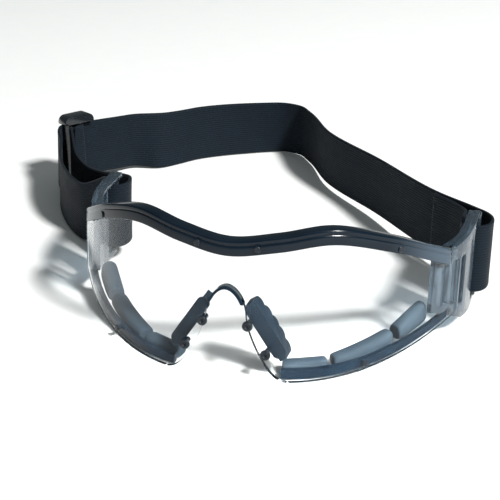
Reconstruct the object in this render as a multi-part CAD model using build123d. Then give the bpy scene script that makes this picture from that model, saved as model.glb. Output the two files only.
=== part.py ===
from build123d import *
import math
import os

# Wrap-around safety goggles with a webbing head strap, standing on the two lobes of the lens.
# Millimetres, +Z up. X = 0 is the goggles' plane of symmetry, the lens faces -Y and Z = 0 is the
# surface that the goggles stand on. The strap lies slack behind, off to one side.

# ---- driving dimensions -------------------------------------------------------------------------
HALF_WIDTH = 83.0          # half the width of the lens
WRAP_SCALE = 80.0          # width at which the two wrap depths below are reached
WRAP_SQUARE = 38.0
WRAP_FOURTH = 13.9
LEAN = 0.13                # how far the front leans back for each millimetre of height
LEAN_LEVEL = 30.0          # height at which the lean is zero
LENS_THICK = 2.0
LENS_CORNER = 3.0
FILM = 0.1                 # adhesive film between the lens and what is fixed to it

TOP_EDGE = [(0, 57.2), (20, 59.8), (40, 62.1), (60, 55.3), (83, 39.8)]
LOBE_EDGE = [(25, 0), (40, 0.5), (55, 2.6), (70, 7.1), (83, 13.7)]
NOSE_EDGE = [(25, 0), (19, 3.4), (14.6, 9), (10.4, 17), (7.9, 25), (6.9, 31)]
NOSE_TOP = 37.9
ARCH_FOOT = 31.6

BAR_HEIGHT = 6.3
BAR_END = 79.0
BAR_WALL = 1.2
RIM_LINE = [(22, 0.35)] + LOBE_EDGE[1:4] + [(79, 11.6)]
RIM_HEIGHT = 3.4
RIM_DEPTH = 2.5
PAD_DEPTH = 7.4
PAD_SPANS = {"inner": (23.5, 41.6, 5.4, 5.0), "middle": (43.8, 65.0, 5.2, 6.6), "outer": (67.0, 76.0, 6.6, 9.6)}

PEG_PLACES = [(9.3, 23.3), (16.7, 11.9)]
PEG_HEAD_RADIUS = 2.1
PEG_RADIUS = 1.2
STUD_RADIUS = 0.9
STUD_HEAD_RADIUS = 1.4
BROW_STUDS = [12.0, 62.0]
BROW_STUD_DROP = 4.2       # below the bar's top edge
RIM_STUDS = [53.0]

NOSE_PAD_LENGTH = 26.5
NOSE_PAD_DEPTH = 13.0
NOSE_PAD_THICK = 3.0
NOSE_PAD_SCALLOPS = 5

ARM_THICK = 2.4
STRAP_BAR_X = 84.6         # the strap bar's centre at the lean's level
STRAP_BAR_Y = 93.5
STRAP_BAR_RADIUS = 2.0
ARM_LOW = 4.6
ARM_HIGH = 43.2
RAIL_WIDE = 4.8            # the top rail is wider than the plate that it stiffens
RAIL_HIGH = 2.4
ARM_OUTLINE = [
    (40, 37), (58, 41), (76, 42.8), (95.4, ARM_HIGH), (95.4, 4.9), (80, ARM_LOW), (66, 7), (52, 14), (40, 19),
]
ARM_SLIT = (87.2, 24.0, 10.4, 33.4, 2.2)       # middle Y, middle Z, wide, high, corner radius
ARM_VENTS = [(52.2, 26.4, 3.4, 17, 1.2), (57.6, 26.0, 4.4, 19, 1.4), (64.6, 24.5, 4.4, 21, 1.4)]

WEB_WIDTH = 30.0
WEB_THICK = 1.5
LOOP_RADIUS = 6.2          # middle of the webbing where it turns round a bar
LOOP_FOOT = 9.0            # height of the webbing's lower edge at the arms

SLIDER_HEIGHT = 38.6
SLIDER_LENGTH = 17.5
SLIDER_CORNER = 3.6
SLIDER_RAISE = 0.8         # the slider hangs a little high on the webbing
SLIDER_PITCH = 3.5         # and its far end is tipped up by these degrees
SLIDER_SETBACK = 1.4       # from the end of the straight run that it slides along
SLIDER_WINDOW = 31.4       # clear height between the rails above and below the webbing
SLIDER_BACK = -3.3         # the slider's depth, from behind the webbing's middle to before it
SLIDER_FRONT = 4.6
SIDE_BAR_WIDE = 3.0
SIDE_BAR_THICK = 2.2
SIDE_BAR_LEVEL = 2.2       # distance of each side bar's middle from the webbing's
MIDDLE_BAR_RADIUS = 1.15
MIDDLE_BAR_LEVEL = 3.45
TAIL_THICK = 1.1
TAIL_LENGTH = 5.0

os.makedirs("parts", exist_ok=True)


# ---- the wrapped surface of the lens ------------------------------------------------------------
def wrap_depth(x):
    u = x / WRAP_SCALE
    return WRAP_SQUARE * u ** 2 + WRAP_FOURTH * u ** 4


def wrap_slope(x):
    u = x / WRAP_SCALE
    return (2 * WRAP_SQUARE * u + 4 * WRAP_FOURTH * u ** 3) / WRAP_SCALE


def wrap_point(x, offset):
    """Plan position at width x, moved back from the lens's front face along its normal."""
    slope = wrap_slope(x)
    size = math.hypot(slope, 1)
    return (x - offset * slope / size, wrap_depth(x) + offset / size)


def lean_at(z):
    return LEAN * (z - LEAN_LEVEL)


def raise_plan(plan, low, high):
    """Extrude a plan face from height low to high along the front's lean."""
    placed = plan.moved(Location((0, lean_at(low), low)))
    return extrude(placed, amount=(high - low) * math.hypot(1, LEAN), dir=(0, LEAN, 1))


def wrapped_wall(front, back, half=HALF_WIDTH):
    """A wall that follows the lens between two offsets behind its front face."""
    steps = [half * i / 8 for i in range(-8, 9)]
    fore = Spline([wrap_point(x, front) for x in steps])
    aft = Spline([wrap_point(x, back) for x in steps])
    plan = make_face([fore, aft, Line(fore @ 0, aft @ 0), Line(fore @ 1, aft @ 1)])
    return raise_plan(plan, -6, 72)


def front_prism(edges, corner_radius=0):
    """A prism along Y from an outline in X and Z; corner_radius rounds the outline's wide ends."""
    face = make_face(edges)
    if corner_radius:
        face = fillet([v for v in face.vertices() if abs(v.X) > HALF_WIDTH - 1], corner_radius)
    return extrude(Plane.XZ * face, amount=140, both=True)


def both_sides(points):
    return [(-x, z) for x, z in reversed(points) if x > 0] + list(points)


def height_on(points, x):
    """Height of an edge at width x, on straight lines between its points."""
    for (x0, z0), (x1, z1) in zip(points, points[1:]):
        if x0 <= x <= x1:
            return z0 + (z1 - z0) * (x - x0) / (x1 - x0)
    return points[-1][1]


def edge_band(points, low, high):
    """A prism between an edge moved by low and the same edge moved by high."""
    under = Spline([(x, z + low) for x, z in points])
    over = Spline([(x, z + high) for x, z in points])
    return front_prism([under, over, Line(under @ 0, over @ 0), Line(under @ 1, over @ 1)])


def lens_normal(x, z):
    """A plane on the lens's front face whose Z axis points out of the front."""
    slope = wrap_slope(x)
    return Plane(
        origin=(x, wrap_depth(x) + lean_at(z), z), x_dir=(1, slope, 0), z_dir=(slope, -1, LEAN)
    )


def mirrored(shape):
    return mirror(shape, about=Plane.YZ)


# ---- lens, brow bar, rims -----------------------------------------------------------------------
def nose_curve(grow):
    """The nose notch's outline, made wider and higher by grow."""
    side = [(x + grow * 0.9, z) for x, z in NOSE_EDGE[2:]]
    run = [(-x, z) for x, z in side] + [(0, NOSE_TOP + grow)] + list(reversed(side))
    return Spline(run)


def lens_outline():
    top = Spline(both_sides([(x, z - BAR_WALL - FILM) for x, z in TOP_EDGE]))
    right = Spline(LOBE_EDGE)
    left = Spline([(-x, z) for x, z in LOBE_EDGE])
    arch = nose_curve(0.65)
    lips = []
    for side in (1, -1):
        foot = [(side * x, z) for x, z in NOSE_EDGE[:2]]
        end = arch @ (0 if side < 0 else 1)
        lips.append(Spline([foot[0], foot[1], (end.X, end.Y)], tangents=[(-side, 0.12), (-side * 0.5, 1)]))
    ends = [Line(top @ 1, right @ 1), Line(top @ 0, left @ 1)]
    return front_prism([top, right, left, arch] + lips + ends, LENS_CORNER)


def stud_places():
    places = []
    for side in (1, -1):
        for x in BROW_STUDS:
            places.append(("brow", side * x, height_on(TOP_EDGE, x) - BROW_STUD_DROP))
        for x in RIM_STUDS:
            places.append(("rim", side * x, height_on(LOBE_EDGE, x) + 2.6))
    return places


def stud(kind, x, z):
    """A fixing stud with a low domed head, on the lens's normal."""
    face = BAR_WALL + FILM if kind == "brow" else 0
    head = Pos(0, 0, face) * Cylinder(STUD_HEAD_RADIUS, 0.6, align=(Align.CENTER, Align.CENTER, Align.MIN))
    head = fillet(head.edges().group_by(Axis.Z)[-1], 0.4)
    shank = Pos(0, 0, face) * Cylinder(STUD_RADIUS, 3.6 + face, align=(Align.CENTER, Align.CENTER, Align.MAX))
    return lens_normal(x, z).location * (head + shank)


def stud_hole(x, z):
    return lens_normal(x, z).location * Cylinder(STUD_RADIUS + 0.1, 14)


def peg_places():
    return [(side * x, z) for side in (1, -1) for x, z in PEG_PLACES]


def peg(x, z):
    """A nose-pad peg: a dimpled round head before the lens and a shank through it, along Y."""
    face = wrap_depth(x) + lean_at(z) - 0.1
    head = Cylinder(PEG_HEAD_RADIUS, 1.1, align=(Align.CENTER, Align.CENTER, Align.MIN))
    head = fillet(head.edges().group_by(Axis.Z)[-1], 0.45)
    head -= Pos(0, 0, 1.5) * Sphere(1.0)
    shank = Cylinder(PEG_RADIUS, 4.2, align=(Align.CENTER, Align.CENTER, Align.MAX))
    place = Plane(origin=(x, face - 0.35, z), x_dir=(1, 0, 0), z_dir=(0, -1, 0))
    return place.location * (head + shank)


def peg_hole(x, z, radius, length=12):
    place = Plane(origin=(x, wrap_depth(x) + lean_at(z), z), x_dir=(1, 0, 0), z_dir=(0, -1, 0))
    return place.location * Cylinder(radius, length)


def make_lens():
    lens = wrapped_wall(0, LENS_THICK) & lens_outline()
    for x, z in peg_places():
        lens -= peg_hole(x, z, PEG_RADIUS + 0.1)
    for _, x, z in stud_places():
        lens -= stud_hole(x, z)
    return lens


def make_brow_bar():
    """A channel that clips over the top edge of the lens."""
    edge = both_sides([(x, z) for x, z in TOP_EDGE])
    back = LENS_THICK + RIM_DEPTH
    body = wrapped_wall(-BAR_WALL - FILM, back, BAR_END + 2) & edge_band(edge, -BAR_HEIGHT, 0)
    groove = wrapped_wall(-FILM, LENS_THICK + FILM) & edge_band(edge, -BAR_HEIGHT - 3, -BAR_WALL)
    body = body - groove
    body = body & Box(2 * BAR_END, 200, 200)
    for kind, x, z in stud_places():
        if kind == "brow":
            body -= stud_hole(x, z)
    return body


def make_lower_rim():
    band = edge_band(RIM_LINE, 0.5, 0.5 + RIM_HEIGHT)
    rim = wrapped_wall(LENS_THICK + FILM, LENS_THICK + RIM_DEPTH) & band
    for kind, x, z in stud_places():
        if kind == "rim":
            rim -= stud_hole(x, z)
    return rim & Pos(60, 0, 0) * Box(100, 300, 200)


def bar_and_rim_room():
    """The room that the bar and the rim take behind the lens, which the arms leave free."""
    depth = LENS_THICK + RIM_DEPTH + 0.2
    bar_room = edge_band(both_sides(TOP_EDGE), -BAR_HEIGHT - 0.2, 4) & Box(2 * BAR_END + 0.4, 300, 200)
    rim_room = edge_band(RIM_LINE, 0, 0.7 + RIM_HEIGHT)
    return wrapped_wall(-4, depth) & (bar_room + rim_room)


def make_face_pad(span):
    """One resilient pad of the row behind the rim, with rounded ends."""
    near, far, low_height, high_height = span
    under_points = []
    over_points = []
    for i in range(5):
        t = i / 4
        x = near + (far - near) * t
        z = height_on(LOBE_EDGE, max(x, 25))
        swell = math.sqrt(max(0.0, 1 - (2 * t - 1) ** 6))
        tall = low_height + (high_height - low_height) * t
        under_points.append((x, z + 0.9))
        over_points.append((x, z + 1.4 + (tall - 1.4) * (0.72 + 0.28 * swell)))
    under = Spline(under_points)
    over = Spline(over_points)
    prism = front_prism([under, over, Line(under @ 0, over @ 0), Line(under @ 1, over @ 1)])
    front = LENS_THICK + RIM_DEPTH + FILM
    return wrapped_wall(front, front + PAD_DEPTH) & prism


def make_nose_arch():
    outer = nose_curve(0.6)
    inner = nose_curve(-0.6)
    feet = [Line(outer @ 0, inner @ 0), Line(outer @ 1, inner @ 1)]
    arch = wrapped_wall(-0.7, LENS_THICK + 0.7) & front_prism([outer, inner] + feet)
    return arch & Pos(0, 0, ARCH_FOOT + 50) * Box(60, 200, 100)


def make_nose_pad():
    """A wing behind the nose notch with a scalloped rear edge and a flange for two pegs."""
    top = (8.7, 31.0)
    run = (PEG_PLACES[1][0] - PEG_PLACES[0][0], PEG_PLACES[1][1] - PEG_PLACES[0][1])
    size = math.hypot(*run)
    along = (run[0] / size, 0, run[1] / size)
    start = LENS_THICK + FILM + wrap_depth(10) + lean_at(20)
    wing_plane = Plane(origin=(top[0], start, top[1]), x_dir=along, z_dir=(along[2], 0, -along[0]))
    pitch = NOSE_PAD_LENGTH / NOSE_PAD_SCALLOPS
    sign = 1 if wing_plane.y_dir.Y > 0 else -1
    rear = sign * (NOSE_PAD_DEPTH - 2.0)
    edges = [Line((0, rear * 0.72), (0, 0)), Line((0, 0), (NOSE_PAD_LENGTH, 0))]
    edges.append(Line((NOSE_PAD_LENGTH, 0), (NOSE_PAD_LENGTH, rear * 0.72)))
    for i in range(NOSE_PAD_SCALLOPS):
        ends = []
        for k in (i, i + 1):
            t = k / NOSE_PAD_SCALLOPS
            ends.append((k * pitch, rear * (0.72 + 0.28 * math.sin(math.pi * t))))
        middle = ((ends[0][0] + ends[1][0]) / 2, (ends[0][1] + ends[1][1]) / 2 + sign * 1.5)
        edges.append(ThreePointArc(ends[0], middle, ends[1]))
    wing = extrude(wing_plane * make_face(edges), amount=NOSE_PAD_THICK / 2, both=True)
    flange_place = Plane(origin=(top[0], start, top[1]), x_dir=along, z_dir=(0, -1, 0))
    flange = flange_place * (Pos(NOSE_PAD_LENGTH / 2 - 0.5, 0) * SlotOverall(NOSE_PAD_LENGTH - 1, 5.4))
    pad = wing + extrude(flange, amount=-2.2)
    for x, z in PEG_PLACES:
        pad -= peg_hole(x, z, PEG_RADIUS)
    return pad - wrapped_wall(-8, LENS_THICK + FILM)


# ---- side arms ----------------------------------------------------------------------------------
def arm_plan(thick):
    """Plan face of one arm: it lines the lens's end and then runs back to the strap bar."""
    inner = LENS_THICK + FILM
    outer_run = [wrap_point(x, inner) for x in (75.5, 79.5, 82.6)]
    inner_run = [wrap_point(x, inner + thick) for x in (75.5, 79.5)]
    outer_run += [(84.2, 67), (85.7, 80), (STRAP_BAR_X + ARM_THICK / 2, STRAP_BAR_Y)]
    inner_run += [(84.3 - thick, 67.5), (85.7 - thick, 80), (STRAP_BAR_X + ARM_THICK / 2 - thick, STRAP_BAR_Y)]
    fore = Spline(outer_run)
    aft = Spline(inner_run)
    return make_face([fore, aft, Line(fore @ 0, aft @ 0), Line(fore @ 1, aft @ 1)])


def side_prism(face):
    return extrude(Plane.YZ * face, amount=200)


def leaned(points):
    return [(y + lean_at(z), z) for y, z in points]


def leaned_window(middle_y, middle_z, wide, high, radius):
    """A rounded window in the side view whose upright edges lean as the front does."""
    y0 = middle_y - wide / 2
    y1 = middle_y + wide / 2
    z0 = middle_z - high / 2
    z1 = middle_z + high / 2
    window = make_face(Polyline(*leaned([(y0, z0), (y1, z0), (y1, z1), (y0, z1)]), close=True))
    return fillet(window.vertices(), radius)


def arm_profile():
    """Side view of one arm in Y and Z, with its vent windows and the slit for the webbing."""
    plate = make_face(Polyline(*leaned(ARM_OUTLINE), close=True))
    plate = fillet(plate.vertices(), 2.0)
    for window in [ARM_SLIT] + ARM_VENTS:
        plate -= leaned_window(*window)
    return plate


def make_arm():
    arm = raise_plan(arm_plan(ARM_THICK), -6, 60) & side_prism(arm_profile())
    bar_plan = Pos(STRAP_BAR_X, STRAP_BAR_Y) * Circle(STRAP_BAR_RADIUS)
    bar = raise_plan(bar_plan, ARM_LOW + 1, ARM_HIGH - 0.6)
    rail = raise_plan(arm_plan(RAIL_WIDE), ARM_HIGH - RAIL_HIGH, ARM_HIGH) & side_prism(arm_profile())
    return arm + bar + rail - bar_and_rim_room()


# ---- the webbing strap --------------------------------------------------------------------------
# Stations along the webbing: X, Y and height of its lower edge, and how far its upper edge leans
# back. The main length runs from the right arm round the back to the left arm in five stretches.
MAIN_STATIONS = [
    (80.8, 107.2, 8.2, 3.2), (63, 127.5, 6.6, 2), (25, 174.5, 3.8, 0.5), (-9, 212.5, 2.2, 0), (-29, 248, 0.8, 0),
    (-36.5, 257.5, 0.6, 0), (-47.5, 260.5, 0.6, 0), (-57.5, 257, 0.6, 0.5), (-66, 252.3, 0.6, 1.8),
    (-79, 244.3, 0.6, 3.4), (-91.5, 234, 0.6, 5), (-100.3, 222, 0.6, 7.4), (-107, 214, 0.8, 8.6),
    (-122.3, 208.7, 2, 2.5), (-148.6, 171.8, 4.8, 2.5),
    (-147.9, 167.0, 4.4, 3), (-142, 156.6, 2.6, 3), (-136.4, 143.2, 0.9, 2.6), (-130.4, 132.6, 0.6, 1.6),
    (-124.5, 124, 0.6, 1), (-115, 113, 0.6, 0.6), (-106.5, 105.8, 0.8, 1), (-98.3, 100.2, 4.6, 3), (-91, 94.6, 9, 3.9),
]
STRETCHES = {
    "strap_right_run": (0, 4), "strap_back_bend": (4, 8), "strap_back_run": (8, 13), "strap_slider_run": (13, 14),
    "strap_left_bend": (14, 18), "strap_left_outer": (18, 23),
}
SLIDER_STATION = 14
RIGHT_TURN_OUT = [(90.8, 97.1, 9, 3.9), (88.2, 102.0, 8.7, 3.9), (82.3, 108.2, 8.2, 3.6)]
RIGHT_TURN_IN = [(78.4, 97.1, 9, 3.9), (78.6, 102.0, 8.7, 3.9), (74.9, 108.6, 8.2, 3.6), (61.2, 124.6, 6.8, 3)]
LEFT_INNER = [
    (-78.4, 94.4, 9, 3.9), (-80.2, 99.2, 8.8, 3.9), (-86, 103, 8, 4), (-96, 111, 4.6, 4), (-104.5, 119, 2.2, 3),
    (-113.5, 126.8, 0.9, 2.5), (-122, 135.5, 0.8, 3), (-142.2, 170.6, 4.8, 2.6),
]


def section(x, y, foot, lean, heading):
    """The webbing's rectangular section, standing at one station across its heading."""
    across = Vector(-heading.Y, heading.X, 0).normalized() * (WEB_THICK / 2)
    rise = Vector(0, lean, WEB_WIDTH)
    base = Vector(x, y, foot)
    return Face(Wire.make_polygon([base - across, base + across, base + across + rise, base - across + rise]))


def ribbon(stations, first=0, last=None):
    """The webbing between two of its stations, straight from each station to the next."""
    last = len(stations) - 1 if last is None else last
    wires = []
    for i in range(first, last + 1):
        before = stations[max(i - 1, 0)]
        after = stations[min(i + 1, len(stations) - 1)]
        heading = Vector(after[0] - before[0], after[1] - before[1], 0)
        wires.append(section(*stations[i], heading).outer_wire())
    return Solid.make_loft(wires, ruled=True)


def loop_plan(side, tail):
    """Plan of the webbing round an arm's bar: half a turn before the bar and two legs behind it."""
    outer = LOOP_RADIUS + WEB_THICK / 2
    inner = LOOP_RADIUS - WEB_THICK / 2
    ring = Circle(outer) - Circle(inner)
    ring = ring - Pos(0, 20) * Rectangle(40, 40)
    legs = Pos(LOOP_RADIUS, 0) * Rectangle(WEB_THICK, tail, align=(Align.CENTER, Align.MIN))
    legs += Pos(-LOOP_RADIUS, 0) * Rectangle(WEB_THICK, tail, align=(Align.CENTER, Align.MIN))
    return Pos(side * STRAP_BAR_X, STRAP_BAR_Y) * (ring + legs)


def make_loop(side, tail):
    return raise_plan(loop_plan(side, tail), LOOP_FOOT, LOOP_FOOT + WEB_WIDTH)


# ---- slider -------------------------------------------------------------------------------------
def slider_frame():
    """A plane at the slider: X along the back run, Y up the webbing, Z towards the head."""
    x, y, foot, lean = MAIN_STATIONS[SLIDER_STATION]
    ahead = MAIN_STATIONS[SLIDER_STATION - 1]
    heading = Vector(ahead[0] - x, ahead[1] - y, ahead[2] - foot).normalized()
    rise = Vector(0, lean, WEB_WIDTH)
    middle = Vector(x, y, foot) + heading * (SLIDER_LENGTH / 2 + SLIDER_SETBACK) + rise / 2
    plane = Plane(origin=middle, x_dir=heading, z_dir=heading.cross(rise))
    return Plane(plane.location * Pos(0, SLIDER_RAISE, 0) * Rot(Z=SLIDER_PITCH))


def make_slider():
    """A three-bar slider: one side bar and the middle bar before the webbing, the other behind it."""
    outline = RectangleRounded(SLIDER_LENGTH, SLIDER_HEIGHT, SLIDER_CORNER)
    block = extrude(Pos(0, 0, SLIDER_BACK) * outline, amount=SLIDER_FRONT - SLIDER_BACK)
    rails = block - Pos(0, -SLIDER_RAISE) * Box(2 * SLIDER_LENGTH, SLIDER_WINDOW, 40)
    reach = SLIDER_LENGTH / 2 - SIDE_BAR_WIDE / 2
    front_bar = Pos(-reach, 0, SIDE_BAR_LEVEL) * Box(SIDE_BAR_WIDE, SLIDER_HEIGHT, SIDE_BAR_THICK)
    back_bar = Pos(reach, 0, -SIDE_BAR_LEVEL) * Box(SIDE_BAR_WIDE, SLIDER_HEIGHT, SIDE_BAR_THICK)
    middle = Rot(X=90) * Cylinder(MIDDLE_BAR_RADIUS, SLIDER_HEIGHT - 1)
    body = rails + (front_bar & block) + (back_bar & block) + Pos(0, 0, MIDDLE_BAR_LEVEL) * middle
    return slider_frame().location * body


def make_strap_tail():
    """The webbing's other end, turned round the slider's middle bar and sewn to itself."""
    inner = MIDDLE_BAR_RADIUS + 0.2
    outer = inner + TAIL_THICK
    leg = (inner + outer) / 2
    ring = Circle(outer) - Circle(inner)
    ring = ring - Pos(-10, 0) * Rectangle(20, 20)
    legs = Pos(0, leg) * Rectangle(TAIL_LENGTH, TAIL_THICK, align=(Align.MAX, Align.CENTER))
    legs += Pos(0, -leg) * Rectangle(TAIL_LENGTH, TAIL_THICK, align=(Align.MAX, Align.CENTER))
    turned = Rot(X=90) * extrude(ring + legs, amount=WEB_WIDTH / 2, both=True)
    return slider_frame().location * (Pos(0, -SLIDER_RAISE, MIDDLE_BAR_LEVEL) * turned)


def write(name, shape):
    if isinstance(shape, list):
        shape = Compound(children=shape)
    export_step(shape, "parts/" + name + ".step")


def main():
    write("lens", make_lens())
    write("brow_bar", make_brow_bar())
    rim = make_lower_rim()
    nose_pad = make_nose_pad()
    arm = make_arm()
    write("lower_rim_right", rim)
    write("lower_rim_left", mirrored(rim))
    for name, span in PAD_SPANS.items():
        pad = make_face_pad(span)
        write("face_pad_" + name + "_right", pad)
        write("face_pad_" + name + "_left", mirrored(pad))
    write("nose_arch", make_nose_arch())
    write("nose_pad_right", nose_pad)
    write("nose_pad_left", mirrored(nose_pad))
    write("nose_pegs", [peg(x, z) for x, z in peg_places()])
    write("brow_studs", [stud(k, x, z) for k, x, z in stud_places() if k == "brow"])
    write("rim_studs", [stud(k, x, z) for k, x, z in stud_places() if k == "rim"])
    write("side_arm_right", arm)
    write("side_arm_left", mirrored(arm))
    for name, (first, last) in STRETCHES.items():
        write(name, ribbon(MAIN_STATIONS, first, last))
    write("strap_right_loop", make_loop(1, 5.9))
    write("strap_right_turn", [ribbon(RIGHT_TURN_OUT), ribbon(RIGHT_TURN_IN)])
    write("strap_left_loop", make_loop(-1, 3.2))
    write("strap_left_inner", ribbon(LEFT_INNER))
    write("strap_slider", make_slider())
    write("strap_tail", make_strap_tail())


main()
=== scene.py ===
import math

import bmesh
import bpy
from mathutils import Matrix, Vector


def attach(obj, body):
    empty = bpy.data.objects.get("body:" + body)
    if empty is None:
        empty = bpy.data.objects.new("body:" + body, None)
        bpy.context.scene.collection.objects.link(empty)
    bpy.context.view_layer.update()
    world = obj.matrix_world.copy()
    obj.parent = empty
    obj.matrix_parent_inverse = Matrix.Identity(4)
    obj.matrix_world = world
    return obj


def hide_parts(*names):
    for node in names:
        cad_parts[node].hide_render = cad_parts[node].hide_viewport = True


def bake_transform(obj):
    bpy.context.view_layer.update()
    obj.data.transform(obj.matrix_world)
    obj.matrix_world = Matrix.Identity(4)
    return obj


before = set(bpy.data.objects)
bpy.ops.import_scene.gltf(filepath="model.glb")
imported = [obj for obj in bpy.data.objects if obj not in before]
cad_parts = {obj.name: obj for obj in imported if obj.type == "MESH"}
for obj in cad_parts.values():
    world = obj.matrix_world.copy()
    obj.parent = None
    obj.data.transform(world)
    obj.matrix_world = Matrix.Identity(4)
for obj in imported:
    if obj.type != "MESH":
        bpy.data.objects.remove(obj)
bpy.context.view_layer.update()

# Safety goggles with a webbing head strap. Lengths in this script are millimetres and are brought
# to metres where a mesh is made; only the blend, the floor, the lamps and the camera are in metres.
# The axes are the model's own: +Z up, the lens faces -Y.
MM = 0.001

# ---- sizes that the pieces share with the frame --------------------------------------------------
WRAP_SCALE, WRAP_SQUARE, WRAP_FOURTH = 80.0, 38.0, 13.9
LEAN, LEAN_LEVEL = 0.13, 30.0
TOP_EDGE = [(0, 57.2), (20, 59.8), (40, 62.1), (60, 55.3), (83, 39.8)]
LOBE_EDGE = [(25, 0), (40, 0.5), (55, 2.6), (70, 7.1), (83, 13.7)]
BAR_END = 79.0
PAD_FRONT, PAD_DEPTH = 4.6, 7.4
PAD_SPANS = {  # near and far end, height at each
    "inner": (23.5, 41.6, 5.4, 5.0),
    "middle": (43.8, 65.0, 5.2, 6.6),
    "outer": (67.0, 76.0, 6.6, 9.6),
}

WEB_WIDTH, WEB_THICK = 30.0, 1.5
STRAP_BAR_X, STRAP_BAR_Y = 84.6, 93.5
LOOP_RADIUS, LOOP_FOOT, LOOP_LEAN = 6.2, 9.0, 3.9
STEP_LENGTH = 2.5

# Stations along the webbing: X, Y and height of its lower edge, and how far its upper edge leans
# back.
RIGHT_SEWN_END = [
    (61.2, 124.6, 6.8, 3), (74.9, 108.6, 8.2, 3.6), (78.6, 102.0, 8.7, 3.9), (78.4, 97.1, 9, 3.9),
]
RIGHT_TURN_OUT = [(90.8, 97.1, 9, 3.9), (88.2, 102.0, 8.7, 3.9), (82.3, 108.2, 8.2, 3.6)]
ROUND_THE_BACK = [
    (63, 127.5, 6.6, 2), (25, 174.5, 3.8, 0.5), (-9, 212.5, 2.2, 0), (-29, 248, 0.8, 0),
    (-36.5, 257.5, 0.6, 0), (-47.5, 260.5, 0.6, 0), (-57.5, 257, 0.6, 0.5), (-66, 252.3, 0.6, 1.8),
    (-79, 244.3, 0.6, 3.4), (-91.5, 234, 0.6, 5), (-100.3, 222, 0.6, 7.4), (-107, 214, 0.8, 8.6),
    (-122.3, 208.7, 2, 2.5),
]
THROUGH_THE_SLIDER = [
    (-126.2, 203.2, 2.4, 2.5), (-144.7, 177.3, 4.4, 2.5), (-148.6, 171.8, 4.8, 2.5),
]
LEFT_OUTER = [
    (-147.9, 167.0, 4.4, 3), (-142, 156.6, 2.6, 3), (-136.4, 143.2, 0.9, 2.6),
    (-130.4, 132.6, 0.6, 1.6), (-124.5, 124, 0.6, 1), (-115, 113, 0.6, 0.6),
    (-106.5, 105.8, 0.8, 1), (-98.3, 100.2, 4.6, 3), (-91, 94.6, 9, 3.9),
]
LEFT_INNER = [
    (-78.4, 94.4, 9, 3.9), (-80.2, 99.2, 8.8, 3.9), (-86, 103, 8, 4), (-96, 111, 4.6, 4),
    (-104.5, 119, 2.2, 3), (-113.5, 126.8, 0.9, 2.5), (-122, 135.5, 0.8, 3),
    (-142.2, 170.6, 4.8, 2.6),
]
# Where the inner layer becomes a piece of its own. The cut is looked for beyond a share of the run.
INNER_CUT, INNER_SHARE = (-96, 111), 0.8
SLIDER_LENGTH, SLIDER_SETBACK, SLIDER_RAISE, SLIDER_PITCH = 17.5, 1.4, 0.8, 3.5
MIDDLE_BAR_LEVEL, MIDDLE_BAR_RADIUS, TAIL_THICK, TAIL_LENGTH = 3.45, 1.15, 1.1, 5.0


# ---- small helpers -------------------------------------------------------------------------------
def through(points, gap):
    """A smooth curve through points of two or more values, in steps of about gap in X and Y."""
    points = [Vector(p) for p in points]
    spans = [max((b.xy - a.xy).length, 1e-6) for a, b in zip(points, points[1:])]
    slopes = []
    for i, point in enumerate(points):
        if i == 0:
            slopes.append((points[1] - point) / spans[0])
        elif i == len(points) - 1:
            slopes.append((point - points[-2]) / spans[-1])
        else:
            before, after = spans[i - 1], spans[i]
            come = (point - points[i - 1]) / before
            go = (points[i + 1] - point) / after
            slopes.append((come * after + go * before) / (before + after))
    run = [points[0]]
    for i, span in enumerate(spans):
        count = max(2, round(span / gap))
        for k in range(1, count + 1):
            t = k / count
            start = points[i] * (2 * t ** 3 - 3 * t ** 2 + 1)
            start += slopes[i] * (span * (t ** 3 - 2 * t ** 2 + t))
            end = points[i + 1] * (3 * t ** 2 - 2 * t ** 3)
            end += slopes[i + 1] * (span * (t ** 3 - t ** 2))
            run.append(start + end)
    return run


def height_on(points, x):
    """The height at x of a line of straight pieces."""
    for (x0, z0), (x1, z1) in zip(points, points[1:]):
        if x0 <= x <= x1:
            return z0 + (z1 - z0) * (x - x0) / (x1 - x0)
    return points[-1][1]


def front_point(x, depth, z):
    """The place at width x and height z, depth behind the lens's front face along its normal."""
    u = x / WRAP_SCALE
    slope = (2 * WRAP_SQUARE * u + 4 * WRAP_FOURTH * u ** 3) / WRAP_SCALE
    size = math.hypot(slope, 1)
    y = WRAP_SQUARE * u ** 2 + WRAP_FOURTH * u ** 4 + depth / size + LEAN * (z - LEAN_LEVEL)
    return Vector((x - depth * slope / size, y, z))


def add_object(name, mesh):
    obj = bpy.data.objects.new(name, mesh)
    bpy.context.scene.collection.objects.link(obj)
    return obj


def loft(name, rings, closed_uv=None, cut_ends=False):
    """A closed mesh through rings of the same number of points, in millimetres, with capped ends.

    With cut_ends, subdivision leaves the ends as flat as scissors do.
    """
    mesh = bpy.data.meshes.new(name)
    count = len(rings[0])
    points = [p * MM for ring in rings for p in ring]
    faces = []
    for i in range(len(rings) - 1):
        for k in range(count):
            a, b = i * count + k, i * count + (k + 1) % count
            faces.append((a, b, b + count, a + count))
    faces.append(tuple(range(count))[::-1])
    last = (len(rings) - 1) * count
    faces.append(tuple(last + k for k in range(count)))
    mesh.from_pydata(points, [], faces)
    if closed_uv:
        layer = mesh.uv_layers.new(name="UVMap")
        for loop in mesh.loops:
            layer.data[loop.index].uv = closed_uv[loop.vertex_index]
    turned = bmesh.new()
    turned.from_mesh(mesh)
    if cut_ends:
        crease = turned.edges.layers.float.new("crease_edge")
        for edge in turned.edges:
            first, second = sorted(v.index for v in edge.verts)
            edge[crease] = 1.0 if second < count or first >= last else 0.0
    bmesh.ops.recalc_face_normals(turned, faces=turned.faces)
    turned.to_mesh(mesh)
    turned.free()
    mesh.shade_smooth()
    return add_object(name, mesh)


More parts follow.
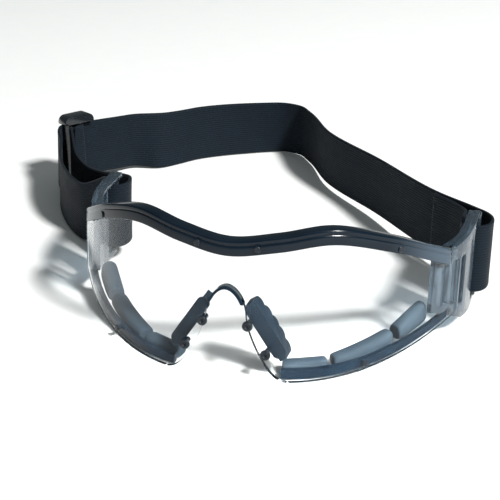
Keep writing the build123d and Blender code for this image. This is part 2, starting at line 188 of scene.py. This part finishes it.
def subdivide(obj, levels):
    smooth = obj.modifiers.new("smooth", "SUBSURF")
    smooth.levels = smooth.render_levels = levels
    return obj


def round_edges(obj, width, angle=32):
    """Round the edges that fold by more than an angle in degrees."""
    bevel = obj.modifiers.new("rounded_edges", "BEVEL")
    bevel.width = width * MM
    bevel.segments = 2
    bevel.limit_method = "ANGLE"
    bevel.angle_limit = math.radians(angle)
    bevel.miter_outer = "MITER_ARC"
    return obj


def apply_stack(obj):
    """Bake an object's modifiers into its mesh."""
    shape = obj.evaluated_get(bpy.context.evaluated_depsgraph_get())
    mesh = bpy.data.meshes.new_from_object(shape)
    obj.modifiers.clear()
    obj.data = mesh
    return obj


# Points this near are one point, and faces that fold by less than this many degrees are one face.
JOIN_DISTANCE, FLAT_FOLD = 0.004, 0.6


def softened_node(cad_name, name, width):
    """A copy of a node's mesh with its points joined and its sharp edges rounded."""
    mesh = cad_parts[cad_name].data.copy()
    mesh.name = name
    joined = bmesh.new()
    joined.from_mesh(mesh)
    bmesh.ops.remove_doubles(joined, verts=joined.verts, dist=JOIN_DISTANCE * MM)
    bmesh.ops.dissolve_limit(
        joined, angle_limit=math.radians(FLAT_FOLD), use_dissolve_boundaries=False,
        verts=joined.verts, edges=joined.edges,
    )
    joined.to_mesh(mesh)
    joined.free()
    mesh.shade_smooth()
    obj = add_object(name, mesh)
    round_edges(obj, width)
    obj.modifiers["rounded_edges"].harden_normals = True
    return obj


# ---- materials -----------------------------------------------------------------------------------
def node(tree, kind, **values):
    made = tree.nodes.new(kind)
    for key, value in values.items():
        setattr(made, key, value)
    return made


def math_node(tree, operation, first, second=0.0):
    made = node(tree, "ShaderNodeMath", operation=operation)
    for socket, value in zip(made.inputs, (first, second)):
        if isinstance(value, (int, float)):
            socket.default_value = value
        else:
            tree.links.new(value, socket)
    return made.outputs[0]


def blend_colors(tree, share, first, second):
    made = node(tree, "ShaderNodeMix", data_type="RGBA")
    tree.links.new(share, made.inputs[0])
    for socket, value in ((made.inputs[6], first), (made.inputs[7], second)):
        if isinstance(value, tuple):
            socket.default_value = value
        else:
            tree.links.new(value, socket)
    return made.outputs[2]


def new_group(name, inputs, outputs):
    tree = bpy.data.node_groups.new(name, "ShaderNodeTree")
    for label, kind, value in inputs:
        socket = tree.interface.new_socket(name=label, in_out="INPUT", socket_type=kind)
        if value is not None:
            socket.default_value = value
    for label, kind in outputs:
        tree.interface.new_socket(name=label, in_out="OUTPUT", socket_type=kind)
    return tree, tree.nodes.new("NodeGroupInput").outputs, tree.nodes.new("NodeGroupOutput").inputs


def noise_node(tree, place, detail):
    made = node(tree, "ShaderNodeTexNoise")
    made.inputs["Detail"].default_value = detail
    tree.links.new(place, made.inputs["Vector"])
    return made


def ripple(tree, turns):
    """A wave that goes from a half to 1, to 0 and back to a half with every whole turn."""
    wave = math_node(tree, "SINE", math_node(tree, "MULTIPLY", turns, 2 * math.pi))
    return math_node(tree, "ADD", math_node(tree, "MULTIPLY", wave, 0.5), 0.5)


def find_node(tree, kind):
    return next(n for n in tree.nodes if n.type == kind)


COLOR, FLOAT, VECTOR = "NodeSocketColor", "NodeSocketFloat", "NodeSocketVector"
SURFACE_OUTPUTS = [("Color", COLOR), ("Roughness", FLOAT), ("Height", FLOAT)]
CLOUD_SCALE, CLOUD_BAND = 60.0, (0.35, 0.65)
FUZZ_SCALE, FUZZ_GLOSS, THREAD_SHARE = 160.0, (0.55, 0.25), 0.6


def make_moulding_group():
    """Cloudy shade, uneven gloss and a faint grain, as moulded plastic and rubber have."""
    inputs = [
        ("Place", VECTOR, None), ("Color", COLOR, None), ("Second Color", COLOR, None),
        ("Smoothest", FLOAT, 0.15), ("Roughest", FLOAT, 0.3), ("Grain Size", FLOAT, 900.0),
    ]
    tree, given, made = new_group("moulded_surface", inputs, SURFACE_OUTPUTS)
    clouds = noise_node(tree, given["Place"], detail=3.0)
    clouds.inputs["Scale"].default_value = CLOUD_SCALE
    grain = noise_node(tree, given["Place"], detail=2.0)
    tree.links.new(given["Grain Size"], grain.inputs["Scale"])
    spread = node(tree, "ShaderNodeMapRange")
    tree.links.new(clouds.outputs["Fac"], spread.inputs["Value"])
    spread.inputs["From Min"].default_value, spread.inputs["From Max"].default_value = CLOUD_BAND
    share = spread.outputs["Result"]
    tree.links.new(blend_colors(tree, share, given["Color"], given["Second Color"]), made["Color"])
    gloss = node(tree, "ShaderNodeMapRange")
    tree.links.new(clouds.outputs["Fac"], gloss.inputs["Value"])
    tree.links.new(given["Smoothest"], gloss.inputs["To Min"])
    tree.links.new(given["Roughest"], gloss.inputs["To Max"])
    tree.links.new(gloss.outputs["Result"], made["Roughness"])
    tree.links.new(grain.outputs["Fac"], made["Height"])
    return tree


def make_weave_group():
    """Lengthwise ribs crossed by picks on the webbing's map in metres, with painted shade in the
    gaps.
    """
    inputs = [
        ("Place", VECTOR, None), ("Rib Color", COLOR, None), ("Painted Gap Shade", COLOR, None),
        ("Rib Spacing", FLOAT, 0.0012), ("Pick Spacing", FLOAT, 0.0009),
    ]
    tree, given, made = new_group("woven_webbing", inputs, SURFACE_OUTPUTS)
    split = node(tree, "ShaderNodeSeparateXYZ")
    tree.links.new(given["Place"], split.inputs[0])
    along, across = split.outputs[0], split.outputs[1]
    rib_turn = math_node(tree, "DIVIDE", across, given["Rib Spacing"])
    rib = ripple(tree, rib_turn)
    stagger = math_node(tree, "MULTIPLY", math_node(tree, "FLOOR", rib_turn), 0.5)
    pick_turn = math_node(tree, "DIVIDE", along, given["Pick Spacing"])
    pick = ripple(tree, math_node(tree, "ADD", pick_turn, stagger))
    upper_half = math_node(tree, "ADD", math_node(tree, "MULTIPLY", pick, 0.5), 0.5)
    height = math_node(tree, "MULTIPLY", rib, upper_half)
    fuzz = noise_node(tree, given["Place"], detail=4.0)
    fuzz.inputs["Scale"].default_value = FUZZ_SCALE
    share = math_node(tree, "ADD", height, fuzz.outputs["Fac"])
    share = math_node(tree, "MULTIPLY", share, THREAD_SHARE)
    # Painted shade: the colour follows the weave's height, dark in the gaps and rib-coloured on the
    # ribs, plus random fuzz.
    tree.links.new(blend_colors(tree, share, given["Painted Gap Shade"], given["Rib Color"]), made["Color"])
    least, spread = FUZZ_GLOSS
    gloss = math_node(tree, "MULTIPLY", fuzz.outputs["Fac"], spread)
    tree.links.new(math_node(tree, "ADD", gloss, least), made["Roughness"])
    tree.links.new(height, made["Height"])
    return tree


MOULDING = make_moulding_group()
WEAVE = make_weave_group()


def start_material(name):
    material = bpy.data.materials.new(name)
    material.use_nodes = True
    tree = material.node_tree
    tree.nodes.clear()
    shader = tree.nodes.new("ShaderNodeBsdfPrincipled")
    output = tree.nodes.new("ShaderNodeOutputMaterial")
    tree.links.new(shader.outputs[0], output.inputs["Surface"])
    return material, tree, shader


def raise_bump(tree, shader, height, distance, strength=0.6):
    bump = tree.nodes.new("ShaderNodeBump")
    bump.inputs["Strength"].default_value = strength
    bump.inputs["Distance"].default_value = distance * MM
    tree.links.new(height, bump.inputs["Height"])
    tree.links.new(bump.outputs["Normal"], shader.inputs["Normal"])


def moulded(
    name, color, second, smoothest, roughest, grain_size=900.0, grain_depth=0.01, **sockets
):
    """A moulded plastic or rubber: two close shades, uneven gloss and a fine grain."""
    material, tree, shader = start_material(name)
    place = tree.nodes.new("ShaderNodeTexCoord")
    surface = node(tree, "ShaderNodeGroup", node_tree=MOULDING)
    tree.links.new(place.outputs["Object"], surface.inputs["Place"])
    surface.inputs["Color"].default_value = (*color, 1)
    surface.inputs["Second Color"].default_value = (*second, 1)
    surface.inputs["Smoothest"].default_value = smoothest
    surface.inputs["Roughest"].default_value = roughest
    surface.inputs["Grain Size"].default_value = grain_size
    tree.links.new(surface.outputs["Color"], shader.inputs["Base Color"])
    tree.links.new(surface.outputs["Roughness"], shader.inputs["Roughness"])
    raise_bump(tree, shader, surface.outputs["Height"], grain_depth)
    for label, value in sockets.items():
        shader.inputs[label.replace("_", " ")].default_value = value
    return material


def let_lamps_through(material, passed):
    """Lamps shine through a clear piece, dimmed to the colour given, and aren't stopped by it."""
    tree = material.node_tree
    shader, output = find_node(tree, "BSDF_PRINCIPLED"), find_node(tree, "OUTPUT_MATERIAL")
    path = tree.nodes.new("ShaderNodeLightPath")
    clear = tree.nodes.new("ShaderNodeBsdfTransparent")
    clear.inputs[0].default_value = (*passed, 1)
    mixed = tree.nodes.new("ShaderNodeMixShader")
    tree.links.new(path.outputs["Is Shadow Ray"], mixed.inputs[0])
    tree.links.new(shader.outputs[0], mixed.inputs[1])
    tree.links.new(clear.outputs[0], mixed.inputs[2])
    tree.links.new(mixed.outputs[0], output.inputs["Surface"])
    return material


def make_webbing_material():
    material, tree, shader = start_material("woven_navy_webbing")
    place = tree.nodes.new("ShaderNodeUVMap")
    place.uv_map = "UVMap"
    weave = node(tree, "ShaderNodeGroup", node_tree=WEAVE)
    tree.links.new(place.outputs[0], weave.inputs["Place"])
    weave.inputs["Rib Color"].default_value = (0.0055, 0.0125, 0.0215, 1)
    # The gap colour is painted shade for the hollows between the ribs.
    weave.inputs["Painted Gap Shade"].default_value = (0.0014, 0.0035, 0.0062, 1)
    tree.links.new(weave.outputs["Color"], shader.inputs["Base Color"])
    tree.links.new(weave.outputs["Roughness"], shader.inputs["Roughness"])
    raise_bump(tree, shader, weave.outputs["Height"], distance=0.25, strength=0.7)
    shader.inputs["Sheen Weight"].default_value = 0.04
    shader.inputs["Sheen Roughness"].default_value = 0.5
    shader.inputs["Specular IOR Level"].default_value = 0.12
    return material


WEBBING = make_webbing_material()
THREAD = moulded("sewing_thread", (0.03, 0.036, 0.05), (0.05, 0.058, 0.075), 0.5, 0.7, 2600.0, 0.03)
BAR_GLOSS = moulded(
    "glossy_bar_plastic", (0.002, 0.006, 0.012), (0.004, 0.010, 0.018), 0.10, 0.20, 700.0, 0.004,
    Specular_IOR_Level=0.25,
)
RIM_DARK = moulded(
    "dark_rim_plastic", (0.005, 0.013, 0.025), (0.010, 0.021, 0.036), 0.22, 0.36, 800.0, 0.008,
    Specular_IOR_Level=0.08,
)
STUD_DARK = moulded(
    "dark_stud_plastic", (0.008, 0.012, 0.018), (0.014, 0.020, 0.028), 0.2, 0.34,
    Specular_IOR_Level=0.3,
)
PAD_FOAM = moulded(
    "grey_blue_foam", (0.028, 0.046, 0.064), (0.042, 0.065, 0.086), 0.6, 0.85, 1500.0, 0.012,
    Specular_IOR_Level=0.2,
)
NOSE_RUBBER = moulded(
    "grey_blue_rubber", (0.007, 0.014, 0.023), (0.012, 0.022, 0.034), 0.4, 0.6, 1000.0, 0.02,
    Specular_IOR_Level=0.15,
)
SLIDER_BLACK = moulded(
    "black_slider_plastic", (0.004, 0.006, 0.009), (0.008, 0.011, 0.015), 0.16, 0.3, 700.0, 0.006,
    Coat_Weight=0.3,
)
ARM_SMOKE = let_lamps_through(
    moulded(
        "smoky_arm_plastic", (0.11, 0.16, 0.21), (0.15, 0.205, 0.26), 0.12, 0.22, 800.0, 0.002,
        Transmission_Weight=0.86, IOR=1.49,
    ),
    (0.25, 0.28, 0.3),
)
LENS_CLEAR = let_lamps_through(
    moulded(
        "clear_lens_plastic", (0.982, 0.993, 1.0), (0.988, 0.996, 1.0), 0.0, 0.02, 300.0, 0.0002,
        Transmission_Weight=1.0, IOR=1.16,
    ),
    (0.97, 0.98, 0.985),
)


def fade_to_smoke(material, start, end, smoke):
    """The moulding turns smoky towards its two ends, between two distances from its middle."""
    tree = material.node_tree
    shader = find_node(tree, "BSDF_PRINCIPLED")
    dark = shader.inputs["Base Color"].links[0].from_socket
    place = tree.nodes.new("ShaderNodeTexCoord")
    split = tree.nodes.new("ShaderNodeSeparateXYZ")
    tree.links.new(place.outputs["Object"], split.inputs[0])
    share = node(tree, "ShaderNodeMapRange", interpolation_type="SMOOTHSTEP")
    share.inputs["From Min"].default_value = start * MM
    share.inputs["From Max"].default_value = end * MM
    tree.links.new(math_node(tree, "ABSOLUTE", split.outputs[0]), share.inputs["Value"])
    faded = blend_colors(tree, share.outputs["Result"], dark, (*smoke, 1))
    tree.links.new(faded, shader.inputs["Base Color"])


FADE_START, FADE_END = 58, 80
fade_to_smoke(BAR_GLOSS, FADE_START, FADE_END, (0.055, 0.080, 0.108))


def paint(obj, material):
    obj.data.materials.clear()
    obj.data.materials.append(material)
    return obj


def paint_node(name, material):
    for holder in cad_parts[name].material_slots:
        holder.material = material


# ---- lens, bar, rims, studs ----------------------------------------------------------------------
paint_node("lens", LENS_CLEAR)
for name in ("lower_rim_left", "lower_rim_right", "nose_arch"):
    paint_node(name, RIM_DARK)
for name in ("brow_studs", "rim_studs", "nose_pegs"):
    paint_node(name, STUD_DARK)

# The bar's section: depth behind the lens's front face, and height from the bar's top edge.
BAR_SECTION = [
    (-1.0, -6.3), (-1.3, -5.9), (-1.3, -2.5), (-0.95, -2.1), (-1.3, -1.7), (-1.3, -0.5), (-0.8, 0),
    (3.9, 0), (4.5, -0.6), (4.5, -5.8), (4.1, -6.3), (2.15, -6.3), (2.15, -1.35), (-0.1, -1.35),
    (-0.1, -6.3),
]
BAR_ROUNDING, BAR_FOLD = 0.22, 25


def make_brow_bar():
    both_ways = [(-x, z) for x, z in reversed(TOP_EDGE) if x > 0] + TOP_EDGE
    rings = []
    for x, top in through(both_ways, STEP_LENGTH):
        if abs(x) < BAR_END:
            rings.append([front_point(x, depth, top + rise) for depth, rise in BAR_SECTION])
    bar = loft("brow_bar_channel", rings)
    round_edges(bar, BAR_ROUNDING, BAR_FOLD)
    paint(bar, BAR_GLOSS)
    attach(bar, "root")
    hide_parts("brow_bar")


make_brow_bar()

# ---- pads ----------------------------------------------------------------------------------------
# A pad's section: share of its depth, share of its height. Its cage is filled out by subdivision.
PAD_SECTION = [
    (0, 0.18), (0.03, 0.62), (0.12, 0.93), (0.38, 1.04), (0.66, 1.02), (0.93, 0.86), (1.03, 0.55),
    (0.99, 0.14), (0.72, -0.03), (0.3, -0.03),
]
# Along a pad: share of its length, and how full its section is there.
PAD_FULLNESS = [
    (0, 0.80), (0.012, 0.93), (0.07, 1.02), (0.3, 1.05), (0.7, 1.05), (0.93, 1.02), (0.988, 0.93),
    (1, 0.80),
]
# How far a cage stays inside the frame's pad: above its foot, off its height, behind its front face
# and off its depth. Where it is less full, it draws in towards a level of its height, and only a
# share of its depth draws in.
FOOT_INSET, HEIGHT_INSET, FRONT_INSET, DEPTH_INSET = 0.95, 0.9, 0.1, 0.3
DRAW_IN_LEVEL, DRAWN_DEPTH = 0.42, 0.65


def make_pad(label, side):
    near, far, low_height, high_height = PAD_SPANS[label]
    rings = []
    for t, fullness in PAD_FULLNESS:
        x = near + (far - near) * t
        foot = height_on(LOBE_EDGE, max(x, LOBE_EDGE[0][0])) + FOOT_INSET
        tall = low_height + (high_height - low_height) * t - HEIGHT_INSET
        deep = 1 - DRAWN_DEPTH + DRAWN_DEPTH * fullness
        ring = []
        for depth_share, height_share in PAD_SECTION:
            share = 0.5 + (depth_share - 0.5) * deep
            depth = PAD_FRONT + FRONT_INSET + (PAD_DEPTH - DEPTH_INSET) * share
            z = foot + tall * (DRAW_IN_LEVEL + (height_share - DRAW_IN_LEVEL) * fullness)
            point = front_point(x, depth, z)
            ring.append(Vector((side * point.x, point.y, point.z)))
        rings.append(ring)
    word = "right" if side > 0 else "left"
    pad = loft("foam_pad_" + label + "_" + word, rings)
    subdivide(pad, 2)
    paint(pad, PAD_FOAM)
    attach(pad, "root")
    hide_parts("face_pad_" + label + "_" + word)


for label in PAD_SPANS:
    for side in (1, -1):
        make_pad(label, side)


# ---- nose pads, arms, slider ---------------------------------------------------------------------
for name, new_name, width, material, slot_name, body in (
    ("nose_pad_left", "nose_wing_left", 0.6, NOSE_RUBBER, "nose_grey", "root"),
    ("nose_pad_right", "nose_wing_right", 0.6, NOSE_RUBBER, "nose_grey", "root"),
    ("side_arm_left", "vented_arm_left", 0.35, ARM_SMOKE, "arm_smoke", "root"),
    ("side_arm_right", "vented_arm_right", 0.35, ARM_SMOKE, "arm_smoke", "root"),
    ("strap_slider", "three_bar_slider", 0.7, SLIDER_BLACK, "slider_black", "slider"),
):
    piece = softened_node(name, new_name, width)
    paint(piece, material)
    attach(piece, body)
    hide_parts(name)

# ---- webbing -------------------------------------------------------------------------------------
# The webbing's section: distance across from its middle and height from its lower edge. The two
# selvages are a little thicker than the web between them.
FACE_LEVELS = [
    (0.62, 0.25), (0.78, 1.1), (0.62, 2.2), (0.64, 8), (0.66, 15), (0.64, 22), (0.62, 27.8),
    (0.78, 28.9), (0.62, 29.75),
]
BACK_LEVELS = [(-a, h) for a, h in reversed(FACE_LEVELS)]
WEB_SECTION = [(0, 0)] + FACE_LEVELS + [(0, WEB_WIDTH)] + BACK_LEVELS


def bar_turn(middle_x):
    """Half a turn before the bar of one arm, from its -X side to its +X side."""
    middle_y = STRAP_BAR_Y + LEAN * (LOOP_FOOT - LEAN_LEVEL)
    places = []
    for degrees in (180, 216, 252, 288, 324, 360):
        angle = math.radians(degrees)
        x = middle_x + LOOP_RADIUS * math.cos(angle)
        places.append((x, middle_y + LOOP_RADIUS * math.sin(angle), LOOP_FOOT, LOOP_LEAN))
    return places


def web_rings(run):
    """The section's ring at every place of a run, and the map that carries the weave along it."""
    rings, uv, travelled = [], [], 0.0
    for i, place in enumerate(run):
        before, after = run[max(i - 1, 0)], run[min(i + 1, len(run) - 1)]
        heading = (after - before).xy.normalized()
        across = Vector((-heading.y, heading.x, 0))
        rise = Vector((0, place[3], WEB_WIDTH)) / WEB_WIDTH
        foot = Vector((place[0], place[1], place[2]))
        rings.append([foot + across * a + rise * h for a, h in WEB_SECTION])
        travelled += (place.xy - before.xy).length
        for a, h in WEB_SECTION:
            uv.append((travelled * MM, (h + a * 0.5) * MM))
    return rings, uv


def make_ribbon(name, run):
    rings, uv = web_rings(run)
    ribbon = loft(name, rings, uv, cut_ends=True)
    subdivide(ribbon, 1)
    return paint(ribbon, WEBBING)


def nearest(run, point, indices):
    """Which of the run's places with these indices is nearest to a point, seen from above."""
    return min(indices, key=lambda i: (run[i].xy - Vector(point)).length)


stations = RIGHT_SEWN_END + bar_turn(STRAP_BAR_X)[1:-1] + RIGHT_TURN_OUT + ROUND_THE_BACK
stations += THROUGH_THE_SLIDER + LEFT_OUTER + bar_turn(-STRAP_BAR_X)[1:-1] + LEFT_INNER
whole_run = through(stations, STEP_LENGTH)
inner_part = range(int(len(whole_run) * INNER_SHARE) + 1, len(whole_run))
cut = nearest(whole_run, INNER_CUT, inner_part)

main_webbing = make_ribbon("strap_webbing_main", whole_run[:cut + 1])
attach(main_webbing, "strap")
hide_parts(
    "strap_right_run", "strap_back_bend", "strap_back_run", "strap_slider_run",
    "strap_left_bend", "strap_left_outer", "strap_left_loop", "strap_right_loop",
    "strap_right_turn",
)

inner_webbing = apply_stack(make_ribbon("strap_webbing_inner", whole_run[cut:]))
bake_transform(inner_webbing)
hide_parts("strap_left_inner")


def slider_matrix():
    """The slider's own axes: X along the webbing, Y up it, Z towards the head."""
    far, near = Vector(ROUND_THE_BACK[-1]), Vector(THROUGH_THE_SLIDER[-1])
    heading = (far.xyz - near.xyz).normalized()
    rise = Vector((0, near[3], WEB_WIDTH))
    middle = near.xyz + heading * (SLIDER_LENGTH / 2 + SLIDER_SETBACK) + rise / 2
    facing = heading.cross(rise).normalized()
    up = facing.cross(heading)
    turn = Matrix((heading, up, facing)).transposed().to_4x4()
    raised = Matrix.Translation((0, SLIDER_RAISE, 0))
    tipped = Matrix.Rotation(math.radians(SLIDER_PITCH), 4, "Z")
    return Matrix.Translation(middle) @ turn @ raised @ tipped


# The tail's gap to the bar, how much its two legs bulge, and its share of the frame's thickness.
TAIL_GAP, TAIL_BULGE, TAIL_SLIMMING = 0.2, 1.02, 0.95


def make_tail():
    """The webbing's end, turned round the slider's middle bar and sewn to itself."""
    middle = MIDDLE_BAR_RADIUS + TAIL_GAP + TAIL_THICK / 2
    centre = [(-TAIL_LENGTH, middle), (-TAIL_LENGTH / 2, middle * TAIL_BULGE)]
    for degrees in range(0, 181, 30):
        angle = math.radians(degrees)
        centre.append((middle * math.sin(angle), middle * math.cos(angle)))
    centre += [(-TAIL_LENGTH / 2, -middle * TAIL_BULGE), (-TAIL_LENGTH, -middle)]
    thinner = TAIL_THICK / WEB_THICK * TAIL_SLIMMING
    place = slider_matrix()
    rings, uv, travelled = [], [], 0.0
    for i, (x, z) in enumerate(centre):
        before, after = Vector(centre[max(i - 1, 0)]), Vector(centre[min(i + 1, len(centre) - 1)])
        heading = (after - before).normalized()
        across = Vector((-heading.y, heading.x))
        travelled += (Vector((x, z)) - before).length
        ring = []
        for a, h in WEB_SECTION:
            a *= thinner
            flat = Vector((x, z)) + across * a
            level = h - WEB_WIDTH / 2 - SLIDER_RAISE
            ring.append(place @ Vector((flat.x, level, flat.y + MIDDLE_BAR_LEVEL)))
            uv.append((travelled * MM, (h + a * 0.5) * MM))
        rings.append(ring)
    tail = paint(subdivide(loft("strap_tail_wrap", rings, uv), 1), WEBBING)
    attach(tail, "slider")
    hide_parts("strap_tail")


make_tail()


# A row of stitches: how many there are, the levels that it starts at and spans, how far each stitch
# reaches to the side, the thread's radius, and how far it lies from the webbing's mid-plane.
STITCHES, ROW_FOOT, ROW_HEIGHT, ZIGZAG = 26, 2.6, 24.8, 0.8
THREAD_RADIUS, THREAD_LEVEL = 0.17, 0.72


def thread_between(made, start, end, radius):
    """One stitch: a short six-sided rod with pointed ends."""
    along = (end - start).normalized()
    side = along.orthogonal().normalized()
    other = along.cross(side)
    tips = [made.verts.new(start - along * radius), made.verts.new(end + along * radius)]
    turns = [math.radians(60 * k) for k in range(6)]
    rings = []
    for middle in (start, end):
        spokes = [(side * math.cos(t) + other * math.sin(t)) * radius for t in turns]
        rings.append([made.verts.new(middle + spoke) for spoke in spokes])
    for k in range(6):
        j = (k + 1) % 6
        made.faces.new((rings[0][k], rings[0][j], rings[1][j], rings[1][k]))
        made.faces.new((tips[0], rings[0][j], rings[0][k]))
        made.faces.new((tips[1], rings[1][k], rings[1][j]))


def make_bar_tacks(name, points, level, body):
    """Zigzag rows of thread, one near each point, that sew two layers of webbing together."""
    made = bmesh.new()
    for point in points:
        i = nearest(whole_run, point, range(len(whole_run) - 1))
        foot, beyond = Vector(whole_run[i].xyz), Vector(whole_run[i + 1].xyz)
        heading = (beyond - foot).normalized()
        rise = Vector((0, whole_run[i][3], WEB_WIDTH)) / WEB_WIDTH
        across = Vector((-heading.y, heading.x, 0)).normalized() * level
        for k in range(STITCHES):
            low = ROW_FOOT + k * ROW_HEIGHT / STITCHES
            high = ROW_FOOT + (k + 1) * ROW_HEIGHT / STITCHES
            side = ZIGZAG if k % 2 else -ZIGZAG
            a = foot + rise * low - heading * side + across
            b = foot + rise * high + heading * side + across
            thread_between(made, a * MM, b * MM, THREAD_RADIUS * MM)
    mesh = bpy.data.meshes.new(name)
    made.to_mesh(mesh)
    made.free()
    mesh.shade_smooth()
    obj = paint(add_object(name, mesh), THREAD)
    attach(obj, body)


make_bar_tacks("sewn_rows_right_inner", [(63.4, 122), (67.5, 117.2)], THREAD_LEVEL, "strap")
make_bar_tacks("sewn_rows_right_outer", [(65.8, 124.6), (70, 120.4)], -THREAD_LEVEL, "strap")

# ---- stage, lights and camera, in metres ---------------------------------------------------------
FLOOR_REACH = 6.0
WORLD_COLOR, WORLD_STRENGTH = (0.90, 1.0, 1.0, 1), 0.13
# Name, place, what it points at, its two sides, watts and colour.
SOFTBOXES = [
    ("key_softbox", (1.8, -0.96, 2.16), (0, 0.08, 0.02), (0.42, 0.42), 155, (1, 0.99, 0.97)),
    ("top_softbox", (0.1, 0.1, 1.3), (0, 0.08, 0), (1.2, 1.2), 1.2, (1, 1, 1)),
]
CAMERA_PLACE = (0.13656, -0.42150, 0.25147)
CAMERA_RIGHT, CAMERA_BACK = (0.9578, 0.2874, 0.0), (0.2625, -0.8749, 0.4067)
CAMERA_LENS, CAMERA_SENSOR = 91.37, 36.0  # millimetres


def make_floor():
    mesh = bpy.data.meshes.new("pale_floor")
    ends = ((-1, -1), (1, -1), (1, 1), (-1, 1))
    corners = [(x * FLOOR_REACH, y * FLOOR_REACH, 0) for x, y in ends]
    mesh.from_pydata(corners, [], [(0, 1, 2, 3)])
    floor = add_object("pale_floor", mesh)
    paint(floor, moulded(
        "pale_paper", (0.86, 0.88, 0.88), (0.88, 0.89, 0.89), 0.75, 0.85, 200.0, 0.001,
        Specular_IOR_Level=0.2,
    ))


def add_softbox(name, place, target, size, power, color):
    light = bpy.data.lights.new(name, "AREA")
    light.shape = "RECTANGLE"
    light.size, light.size_y = size
    light.energy = power
    light.color = color
    obj = bpy.data.objects.new(name, light)
    bpy.context.scene.collection.objects.link(obj)
    obj.location = place
    obj.rotation_euler = (Vector(target) - Vector(place)).to_track_quat("-Z", "Y").to_euler()


def make_studio():
    world = bpy.data.worlds.new("pale_studio")
    world.use_nodes = True
    background = world.node_tree.nodes["Background"]
    background.inputs[0].default_value = WORLD_COLOR
    background.inputs[1].default_value = WORLD_STRENGTH
    bpy.context.scene.world = world
    for softbox in SOFTBOXES:
        add_softbox(*softbox)


def make_camera():
    data = bpy.data.cameras.new("studio_camera")
    data.lens = CAMERA_LENS
    data.sensor_width = CAMERA_SENSOR
    data.clip_start = 0.01
    camera = bpy.data.objects.new("studio_camera", data)
    bpy.context.scene.collection.objects.link(camera)
    right, back = Vector(CAMERA_RIGHT).normalized(), Vector(CAMERA_BACK).normalized()
    turn = Matrix((right, back.cross(right), back)).transposed().to_4x4()
    camera.matrix_world = Matrix.Translation(CAMERA_PLACE) @ turn
    bpy.context.scene.camera = camera


make_floor()
make_studio()
make_camera()
bpy.context.scene.view_settings.view_transform = "Standard"
